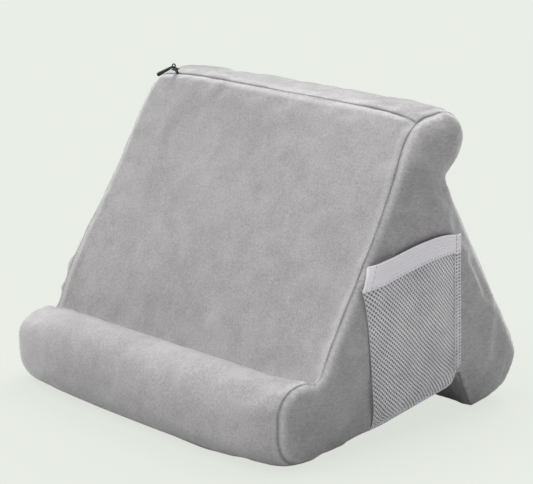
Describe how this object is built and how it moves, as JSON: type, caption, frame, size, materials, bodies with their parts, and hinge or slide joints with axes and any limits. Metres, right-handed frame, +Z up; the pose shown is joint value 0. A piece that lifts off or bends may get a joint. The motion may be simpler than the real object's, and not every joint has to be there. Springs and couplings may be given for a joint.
{
  "type": "tablet cushion stand",
  "caption": "Soft wedge cushion stand: a front roll and trough hold a tablet at an angle, with a zipped velvet cover over foam and a net pocket on one side.",
  "frame": {"origin": "under the middle of the bounding box, on the surface the cushion stands on", "axes": "+X to the right along the front roll, towards the pocket; +Y from the front roll to the rear heel; +Z up"},
  "size_m": [0.287, 0.2467, 0.2169],
  "materials": {
    "velvet": "short-pile velvet, light grey, no gloss",
    "foam": "open-cell foam",
    "zip_tape": "woven polyester tape",
    "zip_nylon": "satin nylon",
    "black_metal": "satin black",
    "netting": "knitted net, matte",
    "elastic": "ribbed elastic, matte"
  },
  "bodies": {
    "cushion": {"front_roll_panel": "velvet", "base_panel": "velvet", "back_panel": "velvet", "top_panel": "velvet", "rest_panel": "velvet", "left_side_panel": "velvet", "right_side_panel": "velvet", "foam_core": "foam", "zip_tape_front": "zip_tape", "zip_tape_rear": "zip_tape", "zip_teeth_front": "zip_nylon", "zip_teeth_rear": "zip_nylon", "zip_stop_left": "black_metal", "zip_stop_right": "black_metal", "pocket_net": "netting", "pocket_band": "elastic", "pocket_binding_front": "netting", "pocket_binding_rear": "netting", "pocket_binding_bottom": "netting"},
    "zip_slider": {"zip_slider": "black_metal"},
    "zip_pull": {"zip_pull": "black_metal"}
  },
  "joints": [
    {"name": "zip_slide", "type": "slide", "parent": "cushion", "child": "zip_slider", "axis": [1, 0, 0], "range_m": [0, 0.2226]},
    {"name": "pull_swing", "type": "hinge", "parent": "zip_slider", "child": "zip_pull", "pos_m": [-0.115, 0.01852, 0.21488], "axis": [-1, 0, 0], "range_deg": [-25, 185]}
  ]
}
